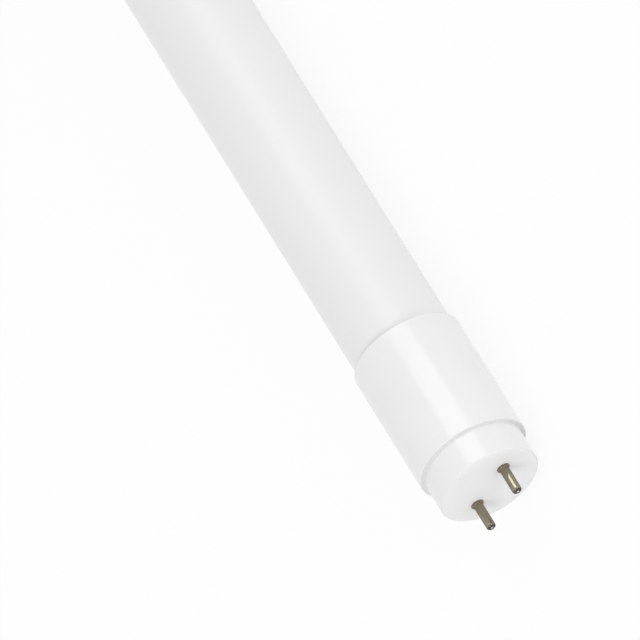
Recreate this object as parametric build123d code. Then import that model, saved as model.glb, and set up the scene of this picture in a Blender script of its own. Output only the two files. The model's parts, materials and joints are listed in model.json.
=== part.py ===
from build123d import *
from math import sqrt
import os

# A tube light on the X axis, its pins in line along Y, its strip of light sources at the bottom.
# The origin is on the axis at half length. All sizes are in millimetres.

# Length between the outer faces of the two end caps
FACE_TO_FACE = 589.0

# Opal glass tube with its cut ends broken
GLASS_DIAMETER = 25.5
GLASS_WALL = 0.9
GLASS_END_CHAMFER = 0.3

# End cap: a skirt that sleeves over the glass and a smaller nose that carries the pins
SKIRT_WALL = 1.0
SKIRT_LENGTH = 33.3
SKIRT_RIM_CHAMFER = 0.3
SKIRT_FRONT_ROUND = 0.3
SHOULDER_WALL = 1.3
NOSE_STEP = 1.15
NOSE_LENGTH = 8.6
NOSE_WALL = 1.3
NOSE_FRONT_ROUND = 0.7
END_WALL = 2.0
BOSS_DIAMETER = 5.0
BOSS_HEIGHT = 4.0

# Ribs inside the skirt that stop the glass
GLASS_INSERT = 16.0
STOP_RIB_COUNT = 6
STOP_RIB_WIDTH = 1.2
STOP_RIB_HEIGHT = 1.6
STOP_RIB_FIRST_ANGLE = 30.0

# Ring of adhesive between skirt and glass, held back from the rim
BOND_GAP = 0.2
BOND_SETBACK = 1.0
BOND_LENGTH = 13.0

# Hollow contact pins, each with a foot collar outside and a staked tail inside
PIN_SPACING = 12.7
PIN_DIAMETER = 2.35
PIN_LENGTH = 7.5
PIN_TIP_WALL = 1.0
PIN_TIP_HOLE = 0.8
PIN_TIP_LAND = 0.075
PIN_BORE = 1.3
COLLAR_STEP = 0.4
COLLAR_THICKNESS = 0.3
COLLAR_FLARE = 0.25
TAIL_DIAMETER = 2.0
TAIL_CLEARANCE = 0.02
STAKE_DIAMETER = 3.2
STAKE_THICKNESS = 0.4

# Aluminium strip with its light sources, bedded on the glass in a bead of silicone
STRIP_WIDTH = 10.0
STRIP_THICKNESS = 1.0
STRIP_LIFT = 0.1
STRIP_SETBACK = 2.0
STRIP_PAD_INSET = 3.0
LED_COUNT = 48
LED_LENGTH = 3.5
LED_WIDTH = 2.8
LED_HEIGHT = 0.7
LED_WINDOW_MARGIN = 0.45
LED_WINDOW_DEPTH = 0.25
LED_CORNER = 0.5
LED_END_GAP = 5.6
BEAD_WIDTH = 8.0
BEAD_SETBACK = 4.0
BEAD_CLEARANCE = 0.02

# Driver board, held by its long edges in two slotted rails of the feed cap
DRIVER_WIDTH = 18.0
DRIVER_THICKNESS = 1.2
DRIVER_DROP = 3.0
DRIVER_FRONT_GAP = 2.6
RAIL_GRIP = 0.8
RAIL_LIP = 1.2
RAIL_CLEARANCE = 0.1
RAIL_SETBACK = 1.5

# Parts on the driver board
PART_GAP = 0.8
FUSE_DIAMETER = 2.4
FUSE_LENGTH = 6.5
FUSE_OFFSET = 5.2
FUSE_LIFT = 0.3
FUSE_LEAD_DIAMETER = 0.6
FUSE_LEAD_REACH = 1.3
FILM_LENGTH = 10.0
FILM_WIDTH = 5.0
FILM_HEIGHT = 8.0
FILM_EDGE_ROUND = 0.7
FILM_OFFSET = -4.2
BULK_DIAMETER = 8.0
BULK_HEIGHT = 11.5
CAN_GROOVE_DEPTH = 0.4
CAN_GROOVE_WIDTH = 1.2
CAN_GROOVE_HEIGHT = 1.4
CAN_TOP_DISH = 0.3
CAN_TOP_RIM = 0.6
CHOKE_DIAMETER = 8.0
CHOKE_HEIGHT = 7.0
CHOKE_FLANGE = 1.1
CHOKE_WINDING_STEP = 0.7
CHOKE_OFFSET = 4.6
OUTPUT_DIAMETER = 5.0
OUTPUT_HEIGHT = 7.0
OUTPUT_OFFSET = -5.2
BRIDGE_LENGTH = 4.7
BRIDGE_WIDTH = 3.9
BRIDGE_HEIGHT = 2.3
BRIDGE_LEADS_A_SIDE = 2
BRIDGE_LEAD_PITCH = 2.5
CHIP_LENGTH = 4.9
CHIP_WIDTH = 3.9
CHIP_HEIGHT = 1.5
CHIP_LEADS_A_SIDE = 4
CHIP_LEAD_PITCH = 1.27
SMALL_LEAD_WIDTH = 0.42
SMALL_LEAD_THICKNESS = 0.2
SMALL_LEAD_REACH = 1.0
SMALL_LEAD_FOOT = 0.6
SMALL_BODY_STANDOFF = 0.1

# Wires: a bare core, sleeved between its two soldered ends
CORE_DIAMETER = 0.6
SLEEVE_DIAMETER = 1.4
WIRE_BEND = 1.4
SLEEVE_END_GAP = 0.4
MAINS_PAD_INSET = 1.8
MAINS_PAD_ZONE = 3.6
OUTPUT_PAD_INSET = 1.5
OUTPUT_PAD_ZONE = 3.0
OUTPUT_WIRE_SPACING = 6.0
LINK_WIRE_REACH = 5.0

# Places that follow from the sizes above
GLASS_RADIUS = GLASS_DIAMETER / 2
GLASS_BORE_RADIUS = GLASS_RADIUS - GLASS_WALL
SKIRT_BORE_RADIUS = GLASS_RADIUS + BOND_GAP
SKIRT_RADIUS = SKIRT_BORE_RADIUS + SKIRT_WALL
NOSE_RADIUS = SKIRT_RADIUS - NOSE_STEP
NOSE_BORE_RADIUS = NOSE_RADIUS - NOSE_WALL
FACE_X = FACE_TO_FACE / 2
STEP_X = FACE_X - NOSE_LENGTH
RIM_X = STEP_X - SKIRT_LENGTH
GLASS_END_X = RIM_X + GLASS_INSERT
SHOULDER_X = STEP_X - SHOULDER_WALL
WALL_INNER_X = FACE_X - END_WALL
BOSS_END_X = WALL_INNER_X - BOSS_HEIGHT
STAKE_END_X = BOSS_END_X - STAKE_THICKNESS
PIN_TIP_X = FACE_X + PIN_LENGTH
PIN_SOLDER_X = PIN_TIP_X - PIN_TIP_WALL
PIN_Y = PIN_SPACING / 2
PIN_RADIUS = PIN_DIAMETER / 2
PIN_HOLE_RADIUS = PIN_TIP_HOLE / 2
PIN_TIP_ROUND = PIN_RADIUS - PIN_HOLE_RADIUS - PIN_TIP_LAND
DRIVER_TOP_Z = -DRIVER_DROP + DRIVER_THICKNESS / 2
DRIVER_UNDER_Z = -DRIVER_DROP - DRIVER_THICKNESS / 2
DRIVER_FRONT_X = STAKE_END_X - DRIVER_FRONT_GAP
INPUT_ZONE = max(FILM_LENGTH, FUSE_LENGTH + 2 * FUSE_LEAD_REACH + FUSE_LEAD_DIAMETER)
OUTPUT_ZONE = max(CHOKE_DIAMETER, OUTPUT_DIAMETER)
INPUT_X = DRIVER_FRONT_X - MAINS_PAD_ZONE - INPUT_ZONE / 2
BULK_X = INPUT_X - INPUT_ZONE / 2 - PART_GAP - BULK_DIAMETER / 2
OUTPUT_X = BULK_X - BULK_DIAMETER / 2 - PART_GAP - OUTPUT_ZONE / 2
DRIVER_BACK_X = OUTPUT_X - OUTPUT_ZONE / 2 - OUTPUT_PAD_ZONE
MAINS_PAD_X = DRIVER_FRONT_X - MAINS_PAD_INSET
OUTPUT_PAD_X = DRIVER_BACK_X + OUTPUT_PAD_INSET
STRIP_END_X = GLASS_END_X - STRIP_SETBACK
STRIP_PAD_X = STRIP_END_X - STRIP_PAD_INSET
STRIP_UNDER_Z = STRIP_LIFT - sqrt(GLASS_BORE_RADIUS**2 - (STRIP_WIDTH / 2) ** 2)
STRIP_TOP_Z = STRIP_UNDER_Z + STRIP_THICKNESS

OTHER_END = Rot(0, 0, 180)


def turned(corners):
    """A solid turned about the X axis from corners of (x, radius) or (x, radius, rounding)."""
    points = [corner[:2] for corner in corners]
    roundings = [corner[2] if len(corner) == 3 else 0 for corner in corners]
    outline = FilletPolyline(*points, radius=roundings, close=True)
    return revolve(make_face(outline), Axis.X)


def standing(corners):
    """The same turned form, set upright on the Z axis, with heights in place of x."""
    return Rot(0, -90, 0) * turned(corners)


def rod_on_x(diameter, start_x, end_x, y=0.0, z=0.0):
    length = end_x - start_x
    return Pos(start_x, y, z) * Rot(0, 90, 0) * extrude(Circle(diameter / 2), length)


def swept_rod(diameter, points, bend):
    path = FilletPolyline(*points, radius=[bend] * (len(points) - 2))
    start = Plane(path @ 0, z_dir=path % 0)
    return sweep(start * Circle(diameter / 2), path=path)


def glass_tube():
    outer = rod_on_x(GLASS_DIAMETER, -GLASS_END_X, GLASS_END_X)
    tube = outer - rod_on_x(2 * GLASS_BORE_RADIUS, -GLASS_END_X, GLASS_END_X)
    return chamfer(tube.edges().filter_by(GeomType.CIRCLE), GLASS_END_CHAMFER)


def cap_shell():
    return turned(
        [
            (RIM_X, SKIRT_BORE_RADIUS),
            (RIM_X, SKIRT_RADIUS - SKIRT_RIM_CHAMFER),
            (RIM_X + SKIRT_RIM_CHAMFER, SKIRT_RADIUS),
            (STEP_X, SKIRT_RADIUS, SKIRT_FRONT_ROUND),
            (STEP_X, NOSE_RADIUS),
            (FACE_X, NOSE_RADIUS, NOSE_FRONT_ROUND),
            (FACE_X, 0),
            (WALL_INNER_X, 0),
            (WALL_INNER_X, NOSE_BORE_RADIUS),
            (SHOULDER_X, NOSE_BORE_RADIUS),
            (SHOULDER_X, SKIRT_BORE_RADIUS),
        ]
    )


def stop_rib(angle):
    """One rib along the skirt's inside: the end of the glass comes to rest on its end."""
    length = SHOULDER_X - GLASS_END_X
    height = STOP_RIB_HEIGHT + SKIRT_WALL / 2
    blank = Box(length, STOP_RIB_WIDTH, height, align=(Align.MIN, Align.CENTER, Align.MIN))
    return Rot(angle, 0, 0) * Pos(GLASS_END_X, 0, SKIRT_BORE_RADIUS - STOP_RIB_HEIGHT) * blank


def board_rail():
    """The slotted rail on the +Y side, which grips one long edge of the driver board."""
    start_x = GLASS_END_X + RAIL_SETBACK
    length = SHOULDER_X - start_x
    tip_y = DRIVER_WIDTH / 2 - RAIL_GRIP
    slot_height = DRIVER_THICKNESS + 2 * RAIL_CLEARANCE
    slot_depth = RAIL_GRIP + RAIL_CLEARANCE
    along = (Align.MIN, Align.MIN, Align.CENTER)
    root_radius = SKIRT_BORE_RADIUS + SKIRT_WALL / 2
    blank = Box(length, SKIRT_RADIUS - tip_y, slot_height + 2 * RAIL_LIP, align=along)
    slot = Box(length, slot_depth, slot_height, align=along)
    rail = Pos(start_x, tip_y, -DRIVER_DROP) * (blank - slot)
    return rail & rod_on_x(2 * root_radius, start_x, SHOULDER_X)


def pin_boss(y):
    return rod_on_x(BOSS_DIAMETER, BOSS_END_X, WALL_INNER_X, y)


def pin_hole(y):
    return rod_on_x(TAIL_DIAMETER + 2 * TAIL_CLEARANCE, BOSS_END_X, FACE_X, y)


def end_cap():
    cap = cap_shell()
    for number in range(STOP_RIB_COUNT):
        cap += stop_rib(STOP_RIB_FIRST_ANGLE + number * 360 / STOP_RIB_COUNT)
    rail = board_rail()
    cap += [rail, mirror(rail, about=Plane.XZ)]
    cap += [pin_boss(PIN_Y), pin_boss(-PIN_Y)]
    return cap - [pin_hole(PIN_Y), pin_hole(-PIN_Y)]


def cap_bond():
    start_x = RIM_X + BOND_SETBACK
    outer = rod_on_x(2 * SKIRT_BORE_RADIUS, start_x, start_x + BOND_LENGTH)
    return outer - rod_on_x(GLASS_DIAMETER, start_x, start_x + BOND_LENGTH)


def contact_pin(y):
    """A drawn hollow pin: tail and staked rim inside the cap, collar, flare and round tip outside."""
    collar_x = FACE_X + COLLAR_THICKNESS
    collar_radius = PIN_RADIUS + COLLAR_STEP
    pin = turned(
        [
            (STAKE_END_X, PIN_BORE / 2),
            (STAKE_END_X, STAKE_DIAMETER / 2),
            (BOSS_END_X, STAKE_DIAMETER / 2),
            (BOSS_END_X, TAIL_DIAMETER / 2),
            (FACE_X, TAIL_DIAMETER / 2),
            (FACE_X, collar_radius),
            (collar_x, collar_radius),
            (collar_x, PIN_RADIUS + COLLAR_FLARE),
            (collar_x + COLLAR_FLARE, PIN_RADIUS),
            (PIN_TIP_X, PIN_RADIUS, PIN_TIP_ROUND),
            (PIN_TIP_X, PIN_HOLE_RADIUS),
            (PIN_SOLDER_X, PIN_HOLE_RADIUS),
            (PIN_SOLDER_X, PIN_BORE / 2),
        ]
    )
    return Pos(0, y, 0) * pin


def solder_plug(y):
    return rod_on_x(PIN_TIP_HOLE, PIN_SOLDER_X, PIN_TIP_X, y)


def led_strip():
    return Pos(0, 0, STRIP_UNDER_Z) * Box(
        2 * STRIP_END_X, STRIP_WIDTH, STRIP_THICKNESS, align=(Align.CENTER, Align.CENTER, Align.MIN)
    )


def led_package():
    """One light source: a moulded block with a marked corner and a sunk window."""
    block = extrude(Rectangle(LED_LENGTH, LED_WIDTH), LED_HEIGHT)
    marked = block.edges().filter_by(Axis.Z).sort_by(Axis.X)[-1]
    block = chamfer(marked, LED_CORNER)
    window = Rectangle(LED_LENGTH - 2 * LED_WINDOW_MARGIN, LED_WIDTH - 2 * LED_WINDOW_MARGIN)
    return block - Pos(0, 0, LED_HEIGHT - LED_WINDOW_DEPTH) * extrude(window, LED_WINDOW_DEPTH)


def led_packages():
    package = led_package()
    first_x = LED_END_GAP - RIM_X
    pitch = -2 * first_x / (LED_COUNT - 1)
    return [Pos(first_x + number * pitch, 0, STRIP_TOP_Z) * package for number in range(LED_COUNT)]


def strip_bead():
    """The silicone under the strip: flat on top, round below where it lies on the glass."""
    half_length = STRIP_END_X - BEAD_SETBACK
    round_bar = rod_on_x(2 * (GLASS_BORE_RADIUS - BEAD_CLEARANCE), -half_length, half_length)
    below_strip = Pos(0, 0, STRIP_UNDER_Z) * Box(
        2 * half_length, BEAD_WIDTH, GLASS_BORE_RADIUS, align=(Align.CENTER, Align.CENTER, Align.MAX)
    )
    return round_bar & below_strip


def driver_board():
    length = DRIVER_FRONT_X - DRIVER_BACK_X
    board = Box(length, DRIVER_WIDTH, DRIVER_THICKNESS, align=(Align.MIN, Align.CENTER, Align.MIN))
    return Pos(DRIVER_BACK_X, 0, DRIVER_UNDER_Z) * board


def fuse_resistor():
    """An axial resistor that stands off the board on its two bent leads."""
    height = DRIVER_TOP_Z + FUSE_LIFT + FUSE_DIAMETER / 2
    lead_radius = FUSE_LEAD_DIAMETER / 2
    half_body = FUSE_LENGTH / 2
    half_span = half_body + FUSE_LEAD_REACH
    reach = half_span + lead_radius
    resistor = rod_on_x(FUSE_DIAMETER, INPUT_X - half_body, INPUT_X + half_body, FUSE_OFFSET, height)
    resistor += rod_on_x(FUSE_LEAD_DIAMETER, INPUT_X - reach, INPUT_X + reach, FUSE_OFFSET, height)
    leg = extrude(Circle(lead_radius), height - DRIVER_TOP_Z)
    for leg_x in (INPUT_X - half_span, INPUT_X + half_span):
        resistor += Pos(leg_x, FUSE_OFFSET, DRIVER_TOP_Z) * leg
    return resistor


def film_capacitor():
    block = extrude(RectangleRounded(FILM_LENGTH, FILM_WIDTH, FILM_EDGE_ROUND), FILM_HEIGHT)
    block = fillet(block.faces().sort_by(Axis.Z)[-1].edges(), FILM_EDGE_ROUND)
    return Pos(INPUT_X, FILM_OFFSET, DRIVER_TOP_Z) * block


def can_capacitor(diameter, height):
    """An aluminium can with a rolled groove near its foot and a dished top."""
    radius = diameter / 2
    dish_radius = radius - CAN_TOP_RIM
    return standing(
        [
            (0, 0),
            (0, radius),
            (CAN_GROOVE_HEIGHT - CAN_GROOVE_WIDTH / 2, radius),
            (CAN_GROOVE_HEIGHT, radius - CAN_GROOVE_DEPTH),
            (CAN_GROOVE_HEIGHT + CAN_GROOVE_WIDTH / 2, radius),
            (height, radius),
            (height, dish_radius),
            (height - CAN_TOP_DISH, dish_radius - CAN_TOP_DISH),
            (height - CAN_TOP_DISH, 0),
        ]
    )


def bulk_capacitor():
    return Pos(BULK_X, 0, DRIVER_TOP_Z) * can_capacitor(BULK_DIAMETER, BULK_HEIGHT)


def output_capacitor():
    return Pos(OUTPUT_X, OUTPUT_OFFSET, DRIVER_TOP_Z) * can_capacitor(OUTPUT_DIAMETER, OUTPUT_HEIGHT)


def buck_choke():
    """A drum core: two flanges with the winding between them."""
    radius = CHOKE_DIAMETER / 2
    winding = radius - CHOKE_WINDING_STEP
    drum = standing(
        [
            (0, 0),
            (0, radius),
            (CHOKE_FLANGE, radius),
            (CHOKE_FLANGE, winding),
            (CHOKE_HEIGHT - CHOKE_FLANGE, winding),
            (CHOKE_HEIGHT - CHOKE_FLANGE, radius),
            (CHOKE_HEIGHT, radius),
            (CHOKE_HEIGHT, 0),
        ]
    )
    return Pos(OUTPUT_X, CHOKE_OFFSET, DRIVER_TOP_Z) * drum


def bent_lead(body_width, body_height):
    """One flat lead: out of the body's side at half height, down, and out again as a foot on z = 0."""
    side = body_width / 2
    thick = SMALL_LEAD_THICKNESS
    middle = SMALL_BODY_STANDOFF + body_height / 2
    toe = side + SMALL_LEAD_REACH
    knee = toe - SMALL_LEAD_FOOT
    outline = Polyline(
        (side - thick, middle),
        (knee - thick, middle),
        (knee - thick, 0),
        (toe, 0),
        (toe, thick),
        (knee, thick),
        (knee, middle + thick),
        (side - thick, middle + thick),
        close=True,
    )
    return extrude(Plane.YZ * make_face(outline), SMALL_LEAD_WIDTH / 2, both=True)


def small_package(length, width, height, leads_a_side, pitch):
    """A moulded surface-mount body with bent leads along its two long sides."""
    body = Pos(0, 0, SMALL_BODY_STANDOFF) * extrude(Rectangle(length, width), height)
    lead = bent_lead(width, height)
    for number in range(leads_a_side):
        lead_x = (number - (leads_a_side - 1) / 2) * pitch
        one = Pos(lead_x, 0, 0) * lead
        body += [one, Rot(0, 0, 180) * one]
    return body


def under_driver(x, package):
    return Pos(x, 0, DRIVER_UNDER_Z) * Rot(180, 0, 0) * package


def bridge_rectifier():
    package = small_package(
        BRIDGE_LENGTH, BRIDGE_WIDTH, BRIDGE_HEIGHT, BRIDGE_LEADS_A_SIDE, BRIDGE_LEAD_PITCH
    )
    return under_driver(INPUT_X, package)


def driver_chip():
    package = small_package(CHIP_LENGTH, CHIP_WIDTH, CHIP_HEIGHT, CHIP_LEADS_A_SIDE, CHIP_LEAD_PITCH)
    return under_driver(BULK_X, package)


def bare_end_on_z(x, y, start_z, end_z):
    return Pos(x, y, start_z) * extrude(Circle(CORE_DIAMETER / 2), end_z - start_z)


def mains_wire(y):
    """From the solder in a pin's tip, back through the pin and down to its pad on the driver board."""
    sleeve_x = STAKE_END_X - SLEEVE_END_GAP
    sleeve_z = DRIVER_TOP_Z + SLEEVE_END_GAP
    corner = (MAINS_PAD_X, y, 0)
    wire = swept_rod(SLEEVE_DIAMETER, [(sleeve_x, y, 0), corner, (MAINS_PAD_X, y, sleeve_z)], WIRE_BEND)
    wire += rod_on_x(CORE_DIAMETER, sleeve_x, PIN_SOLDER_X, y)
    return wire + bare_end_on_z(MAINS_PAD_X, y, DRIVER_TOP_Z, sleeve_z)


def output_wire(y):
    """From under the driver board, forward above the strip and down to its pad there."""
    middle_z = (DRIVER_UNDER_Z + STRIP_TOP_Z) / 2
    top_z = DRIVER_UNDER_Z - SLEEVE_END_GAP
    foot_z = STRIP_TOP_Z + SLEEVE_END_GAP
    route = [
        (OUTPUT_PAD_X, y, top_z),
        (OUTPUT_PAD_X, y, middle_z),
        (STRIP_PAD_X, y, middle_z),
        (STRIP_PAD_X, y, foot_z),
    ]
    wire = swept_rod(SLEEVE_DIAMETER, route, WIRE_BEND)
    wire += bare_end_on_z(OUTPUT_PAD_X, y, top_z, DRIVER_UNDER_Z)
    return wire + bare_end_on_z(STRIP_PAD_X, y, STRIP_TOP_Z, foot_z)


def link_wire():
    """A loop of wire that joins the two pins of one cap."""
    sleeve_x = STAKE_END_X - SLEEVE_END_GAP
    loop_x = STAKE_END_X - LINK_WIRE_REACH
    route = [(sleeve_x, PIN_Y, 0), (loop_x, PIN_Y, 0), (loop_x, -PIN_Y, 0), (sleeve_x, -PIN_Y, 0)]
    wire = swept_rod(SLEEVE_DIAMETER, route, WIRE_BEND)
    for y in (PIN_Y, -PIN_Y):
        wire += rod_on_x(CORE_DIAMETER, sleeve_x, PIN_SOLDER_X, y)
    return wire


def save(node, shape):
    export_step(shape, f"parts/{node}.step")


os.makedirs("parts", exist_ok=True)
cap = end_cap()
bond = cap_bond()
pin_plus_y = contact_pin(PIN_Y)
pin_minus_y = contact_pin(-PIN_Y)
plugs = [solder_plug(PIN_Y), solder_plug(-PIN_Y)]

save("glass_tube", glass_tube())
save("end_cap_feed", cap)
save("end_cap_link", OTHER_END * cap)
save("cap_bond_feed", bond)
save("cap_bond_link", OTHER_END * bond)
save("pin_feed_line", pin_plus_y)
save("pin_feed_neutral", pin_minus_y)
save("pin_link_a", OTHER_END * pin_plus_y)
save("pin_link_b", OTHER_END * pin_minus_y)
save("pin_solder", Compound(plugs + [OTHER_END * plug for plug in plugs]))
save("led_board", led_strip())
save("led_packages", Compound(led_packages()))
save("board_bond", strip_bead())
save("driver_board", driver_board())
save("fuse_resistor", fuse_resistor())
save("film_capacitor", film_capacitor())
save("bridge_rectifier", bridge_rectifier())
save("bulk_capacitor", bulk_capacitor())
save("driver_chip", driver_chip())
save("buck_choke", buck_choke())
save("output_capacitor", output_capacitor())
save("line_wire", mains_wire(PIN_Y))
save("neutral_wire", mains_wire(-PIN_Y))
save("board_plus_wire", output_wire(OUTPUT_WIRE_SPACING / 2))
save("board_minus_wire", output_wire(-OUTPUT_WIRE_SPACING / 2))
save("link_wire", OTHER_END * link_wire())
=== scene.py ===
import json
from math import cos, pi, radians, sin, sqrt, tan

import bmesh
import bpy
from mathutils import Matrix, Vector


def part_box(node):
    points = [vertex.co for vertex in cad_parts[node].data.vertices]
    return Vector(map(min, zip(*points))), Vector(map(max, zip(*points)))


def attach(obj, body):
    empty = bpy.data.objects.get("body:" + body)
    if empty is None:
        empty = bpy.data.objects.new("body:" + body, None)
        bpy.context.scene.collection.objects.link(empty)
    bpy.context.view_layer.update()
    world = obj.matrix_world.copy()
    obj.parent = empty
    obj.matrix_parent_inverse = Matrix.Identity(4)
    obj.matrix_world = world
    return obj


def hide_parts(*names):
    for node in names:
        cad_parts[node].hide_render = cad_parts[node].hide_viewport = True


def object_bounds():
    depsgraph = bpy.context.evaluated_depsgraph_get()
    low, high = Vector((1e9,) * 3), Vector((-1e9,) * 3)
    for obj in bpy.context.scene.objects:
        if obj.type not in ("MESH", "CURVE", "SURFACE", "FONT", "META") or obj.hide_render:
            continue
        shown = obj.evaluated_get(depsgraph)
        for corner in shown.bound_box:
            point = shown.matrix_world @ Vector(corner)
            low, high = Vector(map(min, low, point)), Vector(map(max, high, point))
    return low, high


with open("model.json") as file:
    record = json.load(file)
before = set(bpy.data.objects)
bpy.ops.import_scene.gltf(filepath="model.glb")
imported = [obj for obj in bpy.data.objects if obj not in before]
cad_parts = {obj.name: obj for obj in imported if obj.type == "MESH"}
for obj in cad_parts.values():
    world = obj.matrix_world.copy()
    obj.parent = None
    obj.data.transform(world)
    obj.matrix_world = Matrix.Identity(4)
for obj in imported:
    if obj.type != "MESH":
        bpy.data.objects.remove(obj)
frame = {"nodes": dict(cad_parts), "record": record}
cad_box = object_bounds()


# Light strip: a long board punched from aluminium sheet. Its top is coated white and has tinned pads for the
# wires near its ends, and its cut edges are bare metal. It lies along the bottom of the glass.
STRIP_COAT = 0.00006
STRIP_PAD_RADIUS = 0.0013
STRIP_PAD_INSET = 0.0030
STRIP_PAD_OFFSET = 0.0030
FINISH_EDGE = 0.00005
PATCH_DETAIL = 3.0
PATCH_LOW = 0.35
PATCH_HIGH = 0.65
MIX_SOCKETS = {"RGBA": (6, 7, 2), "FLOAT": (2, 3, 0)}
BARE_ALUMINIUM = ((0.62, 0.62, 0.61), (0.50, 0.50, 0.50))
WHITE_COAT = (0.80, 0.80, 0.79)
TINNED = (0.66, 0.66, 0.64)
TINNED_ROUGHNESS = 0.30


def add(tree, kind, **settings):
    """A new node of a shader tree, with its settings."""
    node = tree.nodes.new(kind)
    for setting, value in settings.items():
        setattr(node, setting, value)
    return node


def blended(tree, kind, where, below, above):
    """What two sockets give together: the one below, and the one above where the mask is 1."""
    first, second, result = MIX_SOCKETS[kind]
    mix = add(tree, "ShaderNodeMix", data_type=kind)
    tree.links.new(where, mix.inputs[0])
    tree.links.new(below, mix.inputs[first])
    tree.links.new(above, mix.inputs[second])
    return mix.outputs[result]


def make_group(name, inputs, outputs):
    """A new node group, with the sockets that bring in its inputs and take its outputs."""
    group = bpy.data.node_groups.new(name, "ShaderNodeTree")
    for side, sockets in (("INPUT", inputs), ("OUTPUT", outputs)):
        for socket, kind in sockets.items():
            group.interface.new_socket(socket, in_out=side, socket_type=f"NodeSocket{kind}")
    return group, add(group, "NodeGroupInput").outputs, add(group, "NodeGroupOutput").inputs


def make_uneven_finish():
    """A node group: colour and gloss that drift in soft patches, and a fine grain for a Bump node."""
    group, given, made = make_group(
        "uneven_finish",
        {
            "Light": "Color",
            "Dark": "Color",
            "Smooth": "Float",
            "Rough": "Float",
            "Patches": "Float",
            "Grain": "Float",
            "Stretch": "Vector",
        },
        {"Color": "Color", "Roughness": "Float", "Height": "Float"},
    )
    place = add(group, "ShaderNodeTexCoord")
    stretch = add(group, "ShaderNodeVectorMath", operation="MULTIPLY")
    patches = add(group, "ShaderNodeTexNoise")
    patches.inputs["Detail"].default_value = PATCH_DETAIL
    grain = add(group, "ShaderNodeTexNoise")
    parts = add(group, "ShaderNodeSeparateColor")
    shade = add(group, "ShaderNodeMapRange")
    gloss = add(group, "ShaderNodeMapRange")
    for ramp in (shade, gloss):
        ramp.inputs["From Min"].default_value = PATCH_LOW
        ramp.inputs["From Max"].default_value = PATCH_HIGH
    color = blended(group, "RGBA", shade.outputs["Result"], given["Light"], given["Dark"])
    joins = (
        (place.outputs["Object"], stretch.inputs[0]),
        (given["Stretch"], stretch.inputs[1]),
        (stretch.outputs["Vector"], patches.inputs["Vector"]),
        (stretch.outputs["Vector"], grain.inputs["Vector"]),
        (given["Patches"], patches.inputs["Scale"]),
        (given["Grain"], grain.inputs["Scale"]),
        (patches.outputs["Color"], parts.inputs["Color"]),
        (parts.outputs["Red"], shade.inputs["Value"]),
        (parts.outputs["Green"], gloss.inputs["Value"]),
        (given["Smooth"], gloss.inputs["To Min"]),
        (given["Rough"], gloss.inputs["To Max"]),
        (color, made["Color"]),
        (gloss.outputs["Result"], made["Roughness"]),
        (grain.outputs["Fac"], made["Height"]),
    )
    for source, target in joins:
        group.links.new(source, target)
    return group


def make_second_finish():
    """A node group: one finish laid over another where the mask is 1."""
    group, given, made = make_group(
        "second_finish",
        {
            "Mask": "Float",
            "Color": "Color",
            "Roughness": "Float",
            "Metallic": "Float",
            "Over Color": "Color",
            "Over Roughness": "Float",
            "Over Metallic": "Float",
        },
        {"Color": "Color", "Roughness": "Float", "Metallic": "Float"},
    )
    for channel, kind in (("Color", "RGBA"), ("Roughness", "FLOAT"), ("Metallic", "FLOAT")):
        result = blended(group, kind, given["Mask"], given[channel], given[f"Over {channel}"])
        group.links.new(result, made[channel])
    return group


uneven_finish = make_uneven_finish()
second_finish = make_second_finish()


def uneven_material(name, colors, gloss, patches, grain, bump, stretch=(1, 1, 1), metallic=0.0):
    """A material of one substance, a little uneven all over; its patches and grain are counted per metre."""
    material = bpy.data.materials.new(name)
    material.use_nodes = True
    tree = material.node_tree
    shader = tree.nodes["Principled BSDF"]
    shader.inputs["Metallic"].default_value = metallic
    finish = add(tree, "ShaderNodeGroup", node_tree=uneven_finish)
    settings = {
        "Light": (*colors[0], 1.0),
        "Dark": (*colors[1], 1.0),
        "Smooth": gloss[0],
        "Rough": gloss[1],
        "Patches": patches,
        "Grain": grain,
        "Stretch": stretch,
    }
    for socket, value in settings.items():
        finish.inputs[socket].default_value = value
    relief = add(tree, "ShaderNodeBump")
    relief.inputs["Distance"].default_value = bump
    tree.links.new(finish.outputs["Color"], shader.inputs["Base Color"])
    tree.links.new(finish.outputs["Roughness"], shader.inputs["Roughness"])
    tree.links.new(finish.outputs["Height"], relief.inputs["Height"])
    tree.links.new(relief.outputs["Normal"], shader.inputs["Normal"])
    return material


def lay_over(material, where, color, roughness, metallic=0.0):
    """Lays a second finish over a material where the mask is 1. What both share stays on the shader."""
    tree = material.node_tree
    shader = tree.nodes["Principled BSDF"]
    layer = add(tree, "ShaderNodeGroup", node_tree=second_finish)
    tree.links.new(where, layer.inputs["Mask"])
    channels = (
        ("Base Color", "Color", (*color, 1.0)),
        ("Roughness", "Roughness", roughness),
        ("Metallic", "Metallic", metallic),
    )
    for socket, channel, value in channels:
        target = shader.inputs[socket]
        if target.is_linked:
            tree.links.new(target.links[0].from_socket, layer.inputs[channel])
        elif target.default_value == value:
            continue
        else:
            layer.inputs[channel].default_value = target.default_value
        layer.inputs[f"Over {channel}"].default_value = value
        tree.links.new(layer.outputs[channel], target)


def coordinate(tree, axis):
    """The object's own X, Y or Z at each point of the surface."""
    split = add(tree, "ShaderNodeSeparateXYZ")
    tree.links.new(add(tree, "ShaderNodeTexCoord").outputs["Object"], split.inputs[0])
    return split.outputs[axis]


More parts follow.
